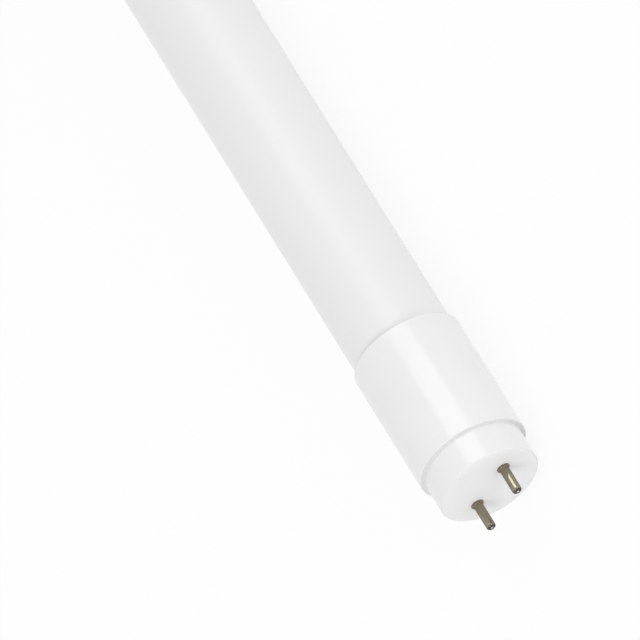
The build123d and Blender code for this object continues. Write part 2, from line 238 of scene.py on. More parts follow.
def distance_from(tree, centre, across, mirrored=False):
    """How far each point lies from a centre, counted only along the axes that across marks with 1."""
    place = add(tree, "ShaderNodeTexCoord").outputs["Object"]
    if mirrored:
        folded = add(tree, "ShaderNodeVectorMath", operation="ABSOLUTE")
        tree.links.new(place, folded.inputs[0])
        place = folded.outputs["Vector"]
    offset = add(tree, "ShaderNodeVectorMath", operation="SUBTRACT")
    offset.inputs[1].default_value = centre
    counted = add(tree, "ShaderNodeVectorMath", operation="MULTIPLY")
    counted.inputs[1].default_value = across
    length = add(tree, "ShaderNodeVectorMath", operation="LENGTH")
    tree.links.new(place, offset.inputs[0])
    tree.links.new(offset.outputs["Vector"], counted.inputs[0])
    tree.links.new(counted.outputs["Vector"], length.inputs[0])
    return length.outputs["Value"]


def mask(tree, value, start, end):
    """0 where a value is at start or before it, 1 at end or past it, which may also lie below start."""
    ramp = add(tree, "ShaderNodeMapRange")
    ramp.inputs["From Min"].default_value = start
    ramp.inputs["From Max"].default_value = end
    tree.links.new(value, ramp.inputs["Value"])
    return ramp.outputs["Result"]


def both(tree, first, second):
    """The mask where two masks overlap."""
    product = add(tree, "ShaderNodeMath", operation="MULTIPLY")
    tree.links.new(first, product.inputs[0])
    tree.links.new(second, product.inputs[1])
    return product.outputs[0]


def dress(node, material):
    """Gives a part of the frame its finish."""
    frame["nodes"][node].material_slots[0].material = material


strip_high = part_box("led_board")[1]
strip_finish = uneven_material(
    "coated_aluminium", BARE_ALUMINIUM, gloss=(0.35, 0.50), patches=60, grain=3000, bump=0.00001,
    stretch=(0.05, 1, 1), metallic=1.0,
)
strip_tree = strip_finish.node_tree
strip_height = coordinate(strip_tree, "Z")
strip_top = mask(strip_tree, strip_height, strip_high.z - STRIP_COAT, strip_high.z - STRIP_COAT / 2)
strip_pad = (strip_high.x - STRIP_PAD_INSET, STRIP_PAD_OFFSET, 0)
strip_pad_distance = distance_from(strip_tree, strip_pad, (1, 1, 0), mirrored=True)
strip_pads = mask(strip_tree, strip_pad_distance, STRIP_PAD_RADIUS, STRIP_PAD_RADIUS - FINISH_EDGE)
tinned_pads = both(strip_tree, strip_top, strip_pads)
lay_over(strip_finish, strip_top, WHITE_COAT, roughness=0.45)
lay_over(strip_finish, tinned_pads, TINNED, roughness=TINNED_ROUGHNESS, metallic=1.0)
dress("led_board", strip_finish)


# Light sources: small white moulded blocks, soldered in a row along the strip. Each has a sunk window
# that is cast full of yellow phosphor over the chips.
LED_WINDOW_DEPTH = 0.00025
LEVEL_FROM = 0.5
LEVEL_TO = 0.9
LED_WHITE = ((0.82, 0.82, 0.80), (0.76, 0.76, 0.74))
PHOSPHOR = (0.86, 0.66, 0.12)


def facing_up(tree):
    """1 on faces that look up."""
    split = add(tree, "ShaderNodeSeparateXYZ")
    tree.links.new(add(tree, "ShaderNodeNewGeometry").outputs["Normal"], split.inputs[0])
    return mask(tree, split.outputs["Z"], LEVEL_FROM, LEVEL_TO)


led_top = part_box("led_packages")[1].z
led_finish = uneven_material(
    "led_block", LED_WHITE, gloss=(0.35, 0.50), patches=400, grain=8000, bump=0.000005
)
led_tree = led_finish.node_tree
led_height = coordinate(led_tree, "Z")
led_sunk = mask(led_tree, led_height, led_top - LED_WINDOW_DEPTH / 3, led_top - LED_WINDOW_DEPTH / 2)
led_window = both(led_tree, led_sunk, facing_up(led_tree))
lay_over(led_finish, led_window, PHOSPHOR, roughness=0.25)
dress("led_packages", led_finish)


# Silicone bead: soft milky silicone, laid wet along the glass before the strip was pressed into it.
# It stays a little wavy along its length.
SILICONE = ((0.74, 0.75, 0.75), (0.66, 0.67, 0.68))

silicone_finish = uneven_material(
    "milky_silicone", SILICONE, gloss=(0.30, 0.45), patches=120, grain=700, bump=0.0001
)
dress("board_bond", silicone_finish)


# Glass tube: drawn glass with an opal diffusing coat, so that nothing inside can be made out. It is cut to
# length, and the flame that breaks the cut edges leaves them slightly rounded.
GLASS_WALL = 0.0009
GLASS_EDGE_ROUND = 0.0003
GLASS_IOR = 1.50
TURN_STEPS = 144
ROUND_STEPS = 6
SHARP_ANGLE = radians(35)
MERGE_DISTANCE = 1e-7
OPAL = ((0.824, 0.824, 0.824), (0.809, 0.809, 0.811))
OPAL_GLOSS = (0.28, 0.34)


def turned(corners, closed):
    """A wall turned about the X axis from corners of (x, radius, rounding), its section closed or open."""
    wall = bmesh.new()
    points = [wall.verts.new((x, 0, radius)) for x, radius, rounding in corners]
    following = points[1:] + points[:1] if closed else points[1:]
    for start, end in zip(points, following):
        wall.edges.new((start, end))
    for point, (x, radius, rounding) in zip(points, corners):
        if rounding:
            bmesh.ops.bevel(
                wall, geom=[point], offset=rounding, offset_type="OFFSET", affect="VERTICES",
                segments=ROUND_STEPS, profile=0.5, material=-1,
            )
    bmesh.ops.spin(
        wall, geom=wall.verts[:] + wall.edges[:], cent=(0, 0, 0), axis=(1, 0, 0), dvec=(0, 0, 0),
        angle=2 * pi, steps=TURN_STEPS, use_merge=True,
    )
    bmesh.ops.remove_doubles(wall, verts=wall.verts, dist=MERGE_DISTANCE)
    bmesh.ops.recalc_face_normals(wall, faces=wall.faces)
    return wall


def corner_normals(shape):
    """At each face's corners, the mean direction of the faces that meet there smoothly, by their areas."""
    normals = []
    for face in shape.faces:
        for vert in face.verts:
            joined = [near for near in vert.link_faces if near.normal.dot(face.normal) > cos(SHARP_ANGLE)]
            normals.append(sum((near.normal * near.calc_area() for near in joined), Vector()).normalized())
    return normals


def make_piece(name, shape, material):
    """An object of a finished shape on the part's one body, smooth on its roundings, even on its flats."""
    mesh = bpy.data.meshes.new(name)
    shape.to_mesh(mesh)
    mesh.materials.append(material)
    mesh.shade_smooth()
    mesh.normals_split_custom_set(corner_normals(shape))
    piece = bpy.data.objects.new(name, mesh)
    bpy.context.scene.collection.objects.link(piece)
    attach(piece, "root")
    return piece


glass_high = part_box("glass_tube")[1]
glass_end = glass_high.x
glass_radius = glass_high.z
glass_bore = glass_radius - GLASS_WALL
glass_shape = turned(
    [
        (-glass_end, glass_bore, GLASS_EDGE_ROUND),
        (-glass_end, glass_radius, GLASS_EDGE_ROUND),
        (glass_end, glass_radius, GLASS_EDGE_ROUND),
        (glass_end, glass_bore, GLASS_EDGE_ROUND),
    ],
    closed=True,
)
opal_finish = uneven_material(
    "opal_glass", OPAL, OPAL_GLOSS, patches=45, grain=2500, bump=0.000004, stretch=(0.3, 1, 1)
)
opal_finish.node_tree.nodes["Principled BSDF"].inputs["IOR"].default_value = GLASS_IOR
glass = make_piece("opal_glass_tube", glass_shape, opal_finish)
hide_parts("glass_tube")


# Driver board: a single-sided board of tan laminate, pushed into the two slotted rails of the feed cap.
# The weave of its filler shows faintly, and each wire and lead is soldered into a round tinned pad.
SLEEVE_RADIUS = 0.0007
FUSE_LEAD_RADIUS = 0.0003
BOARD_PAD_RADIUS = 0.0011
WEAVE_PITCH = 0.0006
WAVE_LENGTH_AT_SCALE_ONE = pi / 10
LAMINATE = ((0.62, 0.52, 0.30), (0.55, 0.45, 0.24))
LAMINATE_THREAD = (0.68, 0.60, 0.39)


def threads(tree, direction):
    """Soft even stripes, one for each thread of a weave, counted along one axis."""
    stripes = add(tree, "ShaderNodeTexWave", bands_direction=direction)
    stripes.inputs["Scale"].default_value = WAVE_LENGTH_AT_SCALE_ONE / WEAVE_PITCH
    tree.links.new(add(tree, "ShaderNodeTexCoord").outputs["Object"], stripes.inputs["Vector"])
    return stripes.outputs["Fac"]


board_low, board_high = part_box("driver_board")
board_middle = (board_low + board_high) / 2
board_finish = uneven_material(
    "tan_laminate", LAMINATE, gloss=(0.40, 0.55), patches=500, grain=3500, bump=0.00001
)
board_tree = board_finish.node_tree
board_weave = both(board_tree, threads(board_tree, "X"), threads(board_tree, "Y"))
lay_over(board_finish, board_weave, LAMINATE_THREAD, roughness=0.50)
fuse_low, fuse_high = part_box("fuse_resistor")
fuse_centre = (fuse_low + fuse_high) / 2
board_pads = [
    (fuse_low.x + FUSE_LEAD_RADIUS, fuse_centre.y, 0),
    (fuse_high.x - FUSE_LEAD_RADIUS, fuse_centre.y, 0),
]
for wire in ("line_wire", "board_plus_wire"):
    wire_low, wire_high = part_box(wire)
    board_pads.append((wire_low.x + SLEEVE_RADIUS, (wire_low.y + wire_high.y) / 2, 0))
for board_pad in board_pads:
    board_pad_distance = distance_from(board_tree, board_pad, (1, 1, 0), mirrored=True)
    board_pad_mask = mask(board_tree, board_pad_distance, BOARD_PAD_RADIUS, BOARD_PAD_RADIUS - FINISH_EDGE)
    lay_over(board_finish, board_pad_mask, TINNED, roughness=TINNED_ROUGHNESS, metallic=1.0)
dress("driver_board", board_finish)


# Fusible resistor: a ceramic rod with a wound film under blue-grey lacquer, on two bent tinned leads
# that stand it off the board.
FUSE_RADIUS = 0.0012
FUSE_BODY_LENGTH = 0.0065
FUSE_LEAD_ROUGHNESS = 0.32
LACQUER = ((0.16, 0.27, 0.30), (0.12, 0.21, 0.24))

fuse_axis = (fuse_centre.x, fuse_centre.y, fuse_high.z - FUSE_RADIUS)
fuse_finish = uneven_material(
    "lacquered_resistor", LACQUER, gloss=(0.18, 0.30), patches=600, grain=2500, bump=0.00003
)
fuse_tree = fuse_finish.node_tree
fuse_along = distance_from(fuse_tree, fuse_axis, (1, 0, 0))
fuse_leads = mask(fuse_tree, fuse_along, FUSE_BODY_LENGTH / 2, FUSE_BODY_LENGTH / 2 + FINISH_EDGE)
lay_over(fuse_finish, fuse_leads, TINNED, roughness=FUSE_LEAD_ROUGHNESS, metallic=1.0)
dress("fuse_resistor", fuse_finish)


# Film capacitor: a small box, moulded in ochre resin round the wound film, with rounded corners. It sits
# flat on the driver board, beside the resistor.
OCHRE_RESIN = ((0.52, 0.34, 0.045), (0.46, 0.29, 0.035))

film_finish = uneven_material(
    "ochre_resin", OCHRE_RESIN, gloss=(0.22, 0.36), patches=350, grain=4000, bump=0.00002
)
dress("film_capacitor", film_finish)


# Bridge rectifier and driver chip: black moulded bodies with flat tinned leads, soldered to the underside
# of the board.
CHIP_BODY_HALF_WIDTH = 0.00195
BLACK_EPOXY = ((0.022, 0.022, 0.024), (0.014, 0.014, 0.015))

for chip in ("bridge_rectifier", "driver_chip"):
    chip_finish = uneven_material(
        f"{chip}_epoxy", BLACK_EPOXY, gloss=(0.42, 0.60), patches=900, grain=9000, bump=0.00001
    )
    chip_tree = chip_finish.node_tree
    chip_across = distance_from(chip_tree, (0, 0, 0), (0, 1, 0))
    chip_leads = mask(chip_tree, chip_across, CHIP_BODY_HALF_WIDTH, CHIP_BODY_HALF_WIDTH + FINISH_EDGE)
    lay_over(chip_finish, chip_leads, TINNED, roughness=TINNED_ROUGHNESS, metallic=1.0)
    dress(chip, chip_finish)


# Bulk and output capacitors: drawn aluminium cans in a dark shrunk sleeve, which leaves the dished top
# bare. A pale stripe down the sleeve marks the side of the negative lead.
CAN_SLEEVE = ((0.020, 0.024, 0.045), (0.014, 0.017, 0.034))
CAN_STRIPE = (0.45, 0.46, 0.47)
CAN_STRIPE_HALF = 0.0011
CAN_SLEEVE_LAP = 0.0003
CAN_SLEEVE_CURL = 0.0006

for can in ("bulk_capacitor", "output_capacitor"):
    can_low, can_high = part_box(can)
    can_centre = (can_low + can_high) / 2
    can_finish = uneven_material(
        f"{can}_sleeve", CAN_SLEEVE, gloss=(0.18, 0.30), patches=500, grain=3000, bump=0.00001
    )
    can_tree = can_finish.node_tree
    can_side = mask(can_tree, coordinate(can_tree, "X"), can_centre.x, can_centre.x + CAN_SLEEVE_LAP)
    can_across = distance_from(can_tree, can_centre, (0, 1, 0))
    can_band = mask(can_tree, can_across, CAN_STRIPE_HALF, CAN_STRIPE_HALF - FINISH_EDGE)
    lay_over(can_finish, both(can_tree, can_side, can_band), CAN_STRIPE, roughness=0.30)
    can_opening = can_high.y - can_centre.y - CAN_SLEEVE_CURL
    can_reach = distance_from(can_tree, can_centre, (1, 1, 0))
    can_within = mask(can_tree, can_reach, can_opening, can_opening - FINISH_EDGE)
    can_above = mask(can_tree, coordinate(can_tree, "Z"), can_centre.z, can_centre.z + CAN_SLEEVE_LAP)
    can_top = both(can_tree, can_within, can_above)
    lay_over(can_finish, can_top, BARE_ALUMINIUM[0], roughness=0.35, metallic=1.0)
    dress(can, can_finish)


# Choke: a drum of dark ferrite, pressed and fired, with enamelled copper wire wound between its flanges.
# It stands on the driver board on one flange.
CHOKE_FLANGE = 0.0011
CHOKE_WINDING_STEP = 0.0007
FERRITE = ((0.050, 0.050, 0.053), (0.036, 0.036, 0.038))
ENAMELLED_COPPER = (0.42, 0.13, 0.040)

choke_low, choke_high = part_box("buck_choke")
choke_centre = (choke_low + choke_high) / 2
choke_radius = choke_high.y - choke_centre.y
choke_window = choke_high.z - choke_centre.z - CHOKE_FLANGE
choke_finish = uneven_material(
    "choke_ferrite", FERRITE, gloss=(0.45, 0.65), patches=800, grain=5000, bump=0.00002
)
choke_tree = choke_finish.node_tree
choke_reach = distance_from(choke_tree, choke_centre, (1, 1, 0))
choke_level = distance_from(choke_tree, choke_centre, (0, 0, 1))
choke_winding = both(
    choke_tree,
    mask(choke_tree, choke_reach, choke_radius - CHOKE_WINDING_STEP / 2, choke_radius - CHOKE_WINDING_STEP),
    mask(choke_tree, choke_level, choke_window, choke_window - FINISH_EDGE),
)
lay_over(choke_finish, choke_winding, ENAMELLED_COPPER, roughness=0.28, metallic=1.0)
dress("buck_choke", choke_finish)


# Wires: stranded tinned copper in coloured sleeves, stripped at both ends and soldered. Brown and blue bring
# the mains from the pins, red and black feed the strip, and a white loop joins the two far pins.
SLEEVE_END_GAP = 0.0004
SLEEVES = {
    "line_wire": ((0.095, 0.040, 0.018), (0.075, 0.030, 0.013)),
    "neutral_wire": ((0.020, 0.075, 0.300), (0.015, 0.058, 0.240)),
    "board_plus_wire": ((0.380, 0.020, 0.016), (0.310, 0.015, 0.012)),
    "board_minus_wire": ((0.016, 0.016, 0.017), (0.010, 0.010, 0.011)),
    "link_wire": ((0.700, 0.700, 0.680), (0.620, 0.620, 0.600)),
}

sleeve_end_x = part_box("pin_feed_line")[0].x - SLEEVE_END_GAP
sleeve_end_on_board = board_high.z - board_middle.z + SLEEVE_END_GAP
sleeve_end_on_strip = strip_high.z + SLEEVE_END_GAP
for wire, sleeve_colors in SLEEVES.items():
    wire_finish = uneven_material(
        f"{wire}_sleeve", sleeve_colors, gloss=(0.35, 0.50), patches=300, grain=2500, bump=0.00001
    )
    wire_tree = wire_finish.node_tree
    wire_along = distance_from(wire_tree, (0, 0, 0), (1, 0, 0))
    wire_from_board = distance_from(wire_tree, board_middle, (0, 0, 1))
    wire_height = coordinate(wire_tree, "Z")
    bare_ends = (
        mask(wire_tree, wire_along, sleeve_end_x, sleeve_end_x + FINISH_EDGE),
        mask(wire_tree, wire_from_board, sleeve_end_on_board, sleeve_end_on_board - FINISH_EDGE),
        mask(wire_tree, wire_height, sleeve_end_on_strip, sleeve_end_on_strip - FINISH_EDGE),
    )
    for bare_end in bare_ends:
        lay_over(wire_finish, bare_end, TINNED, roughness=TINNED_ROUGHNESS, metallic=1.0)
    dress(wire, wire_finish)


# End caps: one moulding of glossy white plastic each, a skirt that sleeves over the glass and a narrower nose
# for the pins. Inside are ribs that stop the glass, slotted rails for the driver board and pin bosses. The
# end face is matte and a little greyer, and where that colour reaches onto the front rounding it is painted
# shade. A darker ring on the front edge and a darker line in the step are painted shade too.
SKIRT_WALL = 0.0010
SKIRT_RIM_ROUND = 0.0004
SKIRT_FRONT_ROUND = 0.0003
SHOULDER_WALL = 0.0013
NOSE_LENGTH = 0.0086
NOSE_STEP = 0.00115
NOSE_WALL = 0.0013
NOSE_FOOT_ROUND = 0.0002
NOSE_FRONT_ROUND = 0.0007
FACE_MARGIN = 0.0007
END_WALL = 0.0020
BOSS_RADIUS = 0.0025
BOSS_HEIGHT = 0.0040
PIN_HOLE_RADIUS = 0.00102
HOLE_STEPS = 48
STOP_RIB_COUNT = 6
STOP_RIB_WIDTH = 0.0012
STOP_RIB_HEIGHT = 0.0016
STOP_RIB_FIRST_ANGLE = radians(30)
RAIL_SETBACK = 0.0015
RAIL_GRIP = 0.0008
RAIL_LIP = 0.0012
RAIL_CLEARANCE = 0.0001
CAP_WHITE = ((0.832, 0.832, 0.832), (0.820, 0.820, 0.822))
CAP_GLOSS = (0.19, 0.24)
CAP_IOR = 1.52
FACE_WHITE_AND_ROUNDING_SHADE = (0.805, 0.805, 0.805)
FACE_ROUGHNESS = 0.75
FRONT_EDGE_PAINTED_SHADE = (0.765, 0.765, 0.764)
FRONT_EDGE_SHADE_INSET = 0.00022
FRONT_EDGE_SHADE_REACH = 0.00025
STEP_PAINTED_SHADE = (0.752, 0.752, 0.750)
STEP_SHADE_REACH = 0.00025

cap_low, cap_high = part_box("end_cap_feed")
face_x = cap_high.x
rim_x = cap_low.x
skirt_radius = cap_high.y
skirt_bore = skirt_radius - SKIRT_WALL
nose_radius = skirt_radius - NOSE_STEP
nose_bore = nose_radius - NOSE_WALL
step_x = face_x - NOSE_LENGTH
shoulder_x = step_x - SHOULDER_WALL
wall_x = face_x - END_WALL
boss_x = wall_x - BOSS_HEIGHT
face_flat = nose_radius - NOSE_FRONT_ROUND - FACE_MARGIN
pin_mounts = frame["record"]["mounts"]
pin_offset = pin_mounts[0]["pos_m"][1]


def ring_at(shape, x):
    """The open edges that lie at one x."""
    return [
        edge for edge in shape.edges
        if edge.is_boundary and all(abs(vert.co.x - x) < MERGE_DISTANCE for vert in edge.verts)
    ]


def circle_at(shape, x, y, radius):
    """The edges of a new circle that faces along X."""
    facing = Matrix.Translation((x, y, 0)) @ Matrix.Rotation(pi / 2, 4, "Y")
    made = bmesh.ops.create_circle(shape, cap_ends=False, radius=radius, segments=HOLE_STEPS, matrix=facing)
    return list({edge for vert in made["verts"] for edge in vert.link_edges})


def pulled_along(shape, edges, distance):
    """Pulls a wall out of a loop of edges along X, and gives the loop at its far end."""
    made = bmesh.ops.extrude_edge_only(shape, edges=edges)["geom"]
    far = [item for item in made if isinstance(item, bmesh.types.BMVert)]
    bmesh.ops.translate(shape, vec=(distance, 0, 0), verts=far)
    made_edges = [item for item in made if isinstance(item, bmesh.types.BMEdge)]
    return [edge for edge in made_edges if all(vert in far for vert in edge.verts)]


def block(shape, low, high, turn):
    """A closed block between two corners, turned about the X axis."""
    size = Vector(high) - Vector(low)
    middle = (Vector(low) + Vector(high)) / 2
    upright = Matrix.Translation(middle) @ Matrix.Diagonal((*size, 1))
    bmesh.ops.create_cube(shape, size=1, matrix=Matrix.Rotation(turn, 4, "X") @ upright)


def board_rail(shape, side):
    """The slotted rail on one side: a channel, drawn along the cap, that grips the driver board's edge."""
    start_x = glass_end + RAIL_SETBACK
    tip = board_high.y - RAIL_GRIP
    slot_end = board_high.y + RAIL_CLEARANCE
    slot_low = board_low.z - RAIL_CLEARANCE
    slot_high = board_high.z + RAIL_CLEARANCE
    low = slot_low - RAIL_LIP
    high = slot_high + RAIL_LIP
    root = skirt_bore + SKIRT_WALL / 2
    section = [
        (sqrt(root**2 - low**2), low),
        (sqrt(root**2 - high**2), high),
        (tip, high),
        (tip, slot_high),
        (slot_end, slot_high),
        (slot_end, slot_low),
        (tip, slot_low),
        (tip, low),
    ]
    outline = shape.faces.new([shape.verts.new((start_x, side * y, z)) for y, z in section])
    drawn = bmesh.ops.extrude_face_region(shape, geom=[outline], use_keep_orig=True)["geom"]
    far = [item for item in drawn if isinstance(item, bmesh.types.BMVert)]
    bmesh.ops.translate(shape, vec=(shoulder_x - start_x, 0, 0), verts=far)


def end_cap_shape():
    """The whole moulding at the +X end."""
    shape = turned(
        [
            (face_x, face_flat, 0),
            (face_x, nose_radius, NOSE_FRONT_ROUND),
            (step_x, nose_radius, NOSE_FOOT_ROUND),
            (step_x, skirt_radius, SKIRT_FRONT_ROUND),
            (rim_x, skirt_radius, SKIRT_RIM_ROUND),
            (rim_x, skirt_bore, 0),
            (shoulder_x, skirt_bore, 0),
            (shoulder_x, nose_bore, 0),
            (wall_x, nose_bore, 0),
            (wall_x, nose_bore - FACE_MARGIN, 0),
        ],
        closed=False,
    )
    outer_edges = ring_at(shape, face_x)
    inner_edges = ring_at(shape, wall_x)
    for y in (pin_offset, -pin_offset):
        hole = circle_at(shape, face_x, y, PIN_HOLE_RADIUS)
        boss = circle_at(shape, wall_x, y, BOSS_RADIUS)
        outer_edges += hole
        inner_edges += boss
        hole_end = pulled_along(shape, hole, boss_x - face_x)
        boss_end = pulled_along(shape, boss, boss_x - wall_x)
        bmesh.ops.triangle_fill(shape, use_beauty=True, edges=hole_end + boss_end, normal=(-1, 0, 0))
    bmesh.ops.triangle_fill(shape, use_beauty=True, edges=outer_edges, normal=(1, 0, 0))
    bmesh.ops.triangle_fill(shape, use_beauty=True, edges=inner_edges, normal=(-1, 0, 0))
    for number in range(STOP_RIB_COUNT):
        half = STOP_RIB_WIDTH / 2
        low = (glass_end, -half, skirt_bore - STOP_RIB_HEIGHT)
        high = (shoulder_x, half, skirt_bore + SKIRT_WALL / 2)
        block(shape, low, high, STOP_RIB_FIRST_ANGLE + number * 2 * pi / STOP_RIB_COUNT)
    for side in (1, -1):
        board_rail(shape, side)
    bmesh.ops.recalc_face_normals(shape, faces=shape.faces)
    return shape


def turn_to_far_end(shape):
    """Turns a shape half round, from the +X end to the -X end."""
    bmesh.ops.rotate(shape, cent=(0, 0, 0), matrix=Matrix.Rotation(pi, 3, "Z"), verts=shape.verts)


cap_shape = end_cap_shape()
cap_finish = uneven_material(
    "glossy_white_plastic", CAP_WHITE, CAP_GLOSS, patches=70, grain=1200, bump=0.000002
)
cap_finish.node_tree.nodes["Principled BSDF"].inputs["IOR"].default_value = CAP_IOR
cap_tree = cap_finish.node_tree
cap_along = distance_from(cap_tree, (0, 0, 0), (1, 0, 0))
# The matte face colour also covers the outer half of the front rounding, where it is painted shade.
face_mask = mask(cap_tree, cap_along, face_x - NOSE_FRONT_ROUND, face_x - NOSE_FRONT_ROUND / 2)
lay_over(cap_finish, face_mask, FACE_WHITE_AND_ROUNDING_SHADE, FACE_ROUGHNESS)
# A darker ring on the nose's front edge is painted shade.
front_edge_shade_x = face_x - FRONT_EDGE_SHADE_INSET
front_edge_shade_distance = distance_from(cap_tree, (front_edge_shade_x, 0, 0), (1, 0, 0), mirrored=True)
front_edge_shade_mask = mask(cap_tree, front_edge_shade_distance, FRONT_EDGE_SHADE_REACH, 0)
lay_over(cap_finish, front_edge_shade_mask, FRONT_EDGE_PAINTED_SHADE, FACE_ROUGHNESS)
# A darker line round the step between skirt and nose is painted shade in the corner.
step_shade_x = step_x + STEP_SHADE_REACH / 2
step_shade_distance = distance_from(cap_tree, (step_shade_x, 0, 0), (1, 0, 0), mirrored=True)
step_shade_mask = mask(cap_tree, step_shade_distance, STEP_SHADE_REACH, STEP_SHADE_REACH / 2)
lay_over(cap_finish, step_shade_mask, STEP_PAINTED_SHADE, FACE_ROUGHNESS)
feed_cap = make_piece("white_cap_feed", cap_shape, cap_finish)
turn_to_far_end(cap_shape)
link_cap = make_piece("white_cap_link", cap_shape, cap_finish)
for cap, node in ((feed_cap, "end_cap_feed"), (link_cap, "end_cap_link")):
    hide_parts(node)


# Adhesive rings: white cement, run into the gap between each skirt and the glass. It cures hard, and it is
# what holds the caps on.
CEMENT = ((0.76, 0.76, 0.73), (0.68, 0.68, 0.65))

cement_finish = uneven_material(
    "white_cement", CEMENT, gloss=(0.50, 0.70), patches=300, grain=3000, bump=0.00003
)
for ring in ("cap_bond_feed", "cap_bond_link"):
    dress(ring, cement_finish)


# Contact pins: hollow pins drawn from brass, with a foot collar outside the cap and a tail staked over inside
# it. Under a thin clear film the brass has dulled to an olive brown. Its foot is painted darker and redder
# as painted shade, and a dark ring at each tip is a painted dark reflection.
COLLAR_THICKNESS = 0.0003
COLLAR_ROUND = 0.0001
PIN_FOOT_ROUND = 0.00025
PIN_RADIUS = 0.001175
PIN_TIP_ROUND = 0.0007
PIN_TIP_WALL = 0.0010
PIN_TIP_HOLE = 0.0004
PIN_BORE = 0.00065
PIN_TAIL_RADIUS = 0.0010
STAKE_RADIUS = 0.0016
STAKE_THICKNESS = 0.0004
DULL_BRASS = ((0.262, 0.238, 0.168), (0.232, 0.209, 0.144))
PIN_EDGE_TINT = (0.35, 0.30, 0.24, 1.0)
PIN_FILM = 0.6
PIN_FILM_ROUGHNESS = 0.15
TIP_PAINTED_DARK_REFLECTION = (0.060, 0.055, 0.045)
FOOT_PAINTED_SHADE = (0.212, 0.162, 0.112)
PIN_TIP_AND_FOOT_ROUGHNESS = 0.30
TIP_DARK_REFLECTION_REACH = 0.0005
FOOT_SHADE_REACH = 0.0022

pin_low, pin_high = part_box("pin_feed_line")
pin_tip_x = pin_high.x
pin_solder_x = pin_tip_x - PIN_TIP_WALL
collar_radius = (pin_high.y - pin_low.y) / 2
collar_x = face_x + COLLAR_THICKNESS


def on_mount(shape, mount):
    """A copy of a shape that was made on the axis at the +X end, brought to one pin's place."""
    side_x, pin_y = mount["pos_m"][:2]
    placed = shape.copy()
    if side_x < 0:
        turn_to_far_end(placed)
    bmesh.ops.translate(placed, vec=(0, pin_y, 0), verts=placed.verts)
    return placed


pin_shape = turned(
    [
        (boss_x - STAKE_THICKNESS, PIN_BORE, 0),
        (boss_x - STAKE_THICKNESS, STAKE_RADIUS, COLLAR_ROUND),
        (boss_x, STAKE_RADIUS, 0),
        (boss_x, PIN_TAIL_RADIUS, 0),
        (face_x, PIN_TAIL_RADIUS, 0),
        (face_x, collar_radius, COLLAR_ROUND / 2),
        (collar_x, collar_radius, COLLAR_ROUND),
        (collar_x, PIN_RADIUS, PIN_FOOT_ROUND),
        (pin_tip_x, PIN_RADIUS, PIN_TIP_ROUND),
        (pin_tip_x, PIN_TIP_HOLE, 0),
        (pin_solder_x, PIN_TIP_HOLE, 0),
        (pin_solder_x, PIN_BORE, 0),
    ],
    closed=True,
)
pin_finish = uneven_material(
    "dull_brass", DULL_BRASS, gloss=(0.12, 0.18), patches=900, grain=9000, bump=0.000002,
    stretch=(0.15, 1, 1), metallic=1.0,
)
pin_tree = pin_finish.node_tree
pin_shader = pin_tree.nodes["Principled BSDF"]
pin_shader.inputs["Specular Tint"].default_value = PIN_EDGE_TINT
pin_shader.inputs["Coat Weight"].default_value = PIN_FILM
pin_shader.inputs["Coat Roughness"].default_value = PIN_FILM_ROUGHNESS
pin_along = distance_from(pin_tree, (0, 0, 0), (1, 0, 0))
# The dark tip colour is a painted dark reflection on the rounded tip.
pin_tip_dark_reflection_mask = mask(pin_tree, pin_along, pin_tip_x - TIP_DARK_REFLECTION_REACH, pin_tip_x - TIP_DARK_REFLECTION_REACH / 2)
lay_over(pin_finish, pin_tip_dark_reflection_mask, TIP_PAINTED_DARK_REFLECTION, PIN_TIP_AND_FOOT_ROUGHNESS, metallic=1.0)
# The darker, redder foot colour is painted shade where the pin meets the cap.
pin_foot_shade_mask = mask(pin_tree, pin_along, collar_x + FOOT_SHADE_REACH, face_x - COLLAR_THICKNESS)
lay_over(pin_finish, pin_foot_shade_mask, FOOT_PAINTED_SHADE, PIN_TIP_AND_FOOT_ROUGHNESS, metallic=1.0)
for mount in pin_mounts:
    pin = make_piece(f"brass_{mount['name']}", on_mount(pin_shape, mount), pin_finish)
    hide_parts(mount["name"])


# Solder: a drop of tin in the tip of each pin, which closes the hollow pin on the wire's end.
# It set slightly domed.
SOLDER_DOME = 0.0001
BRIGHT_TIN = ((0.80, 0.80, 0.78), (0.70, 0.70, 0.68))

solder_drop = turned(
    [
        (pin_solder_x, 0, 0),
        (pin_solder_x, PIN_TIP_HOLE, 0),
        (pin_tip_x - SOLDER_DOME, PIN_TIP_HOLE, 0),
        (pin_tip_x - SOLDER_DOME / 4, PIN_TIP_HOLE / 2, 0),
        (pin_tip_x, 0, 0),
    ],
    closed=False,
)
solder_shape = bmesh.new()
one_drop = bpy.data.meshes.new("one_drop")
for mount in pin_mounts:
    on_mount(solder_drop, mount).to_mesh(one_drop)
    solder_shape.from_mesh(one_drop)
bpy.data.meshes.remove(one_drop)
solder_finish = uneven_material(
    "bright_tin", BRIGHT_TIN, gloss=(0.20, 0.32), patches=2000, grain=6000, bump=0.00001, metallic=1.0
)
solder = make_piece("tin_drops", solder_shape, solder_finish)
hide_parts("pin_solder")


# Setting: a plain white floor that the tube lies on, and a white surround. What the camera and the
# reflections see of them is nearly all plain white, with a little of the floor's own light and shadow.
FLOOR_RADIUS = 6.0
FLOOR_STEPS = 96
FLOOR_WHITE = (0.93, 0.93, 0.93, 1.0)
FLOOR_PLAIN_SHARE = 0.88
SURROUND_WHITE = (1.0, 1.0, 1.0, 1.0)
SURROUND_LIGHT = 0.77
SURROUND_SEEN = 1.0


def seen_directly(tree):
    """1 for camera, glossy and transmission rays."""
    path = add(tree, "ShaderNodeLightPath")
    seen = path.outputs["Is Camera Ray"]
    for ray in ("Is Glossy Ray", "Is Transmission Ray"):
        larger = add(tree, "ShaderNodeMath", operation="MAXIMUM")
        tree.links.new(seen, larger.inputs[0])
        tree.links.new(path.outputs[ray], larger.inputs[1])
        seen = larger.outputs[0]
    return seen


